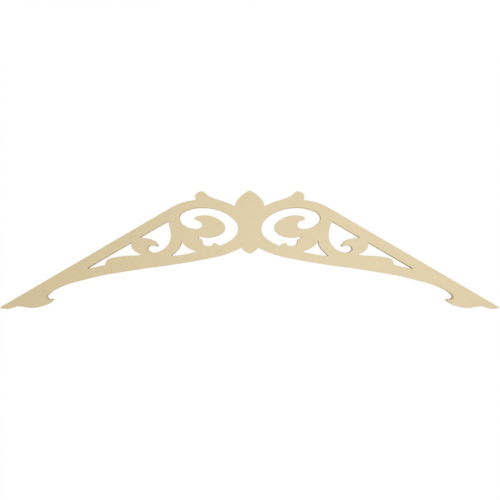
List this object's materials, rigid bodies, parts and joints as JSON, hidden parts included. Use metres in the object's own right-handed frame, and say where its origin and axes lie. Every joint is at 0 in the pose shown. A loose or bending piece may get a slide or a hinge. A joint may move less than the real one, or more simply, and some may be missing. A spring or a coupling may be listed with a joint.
{
  "type": "gable pediment",
  "caption": "Flat fretwork gable pediment: raked rails with C-scrolls, a leaf finial over the peak and hooked feet, cut from flat board to fit under the rakes of a gable.",
  "frame": {"origin": "middle of the back face: on the centreline, halfway between the finial's point and the toes of the feet", "axes": "+X along the span, +Y towards the peak of the gable, +Z out of the front face; the board lies on its back face"},
  "size_m": [1.8286, 0.4334, 0.0254],
  "materials": {
    "primed_board": "smooth factory primer with a low sheen, on cellular polymer board"
  },
  "bodies": {
    "root": {"pediment_panel": "primed_board"}
  },
  "joints": []
}
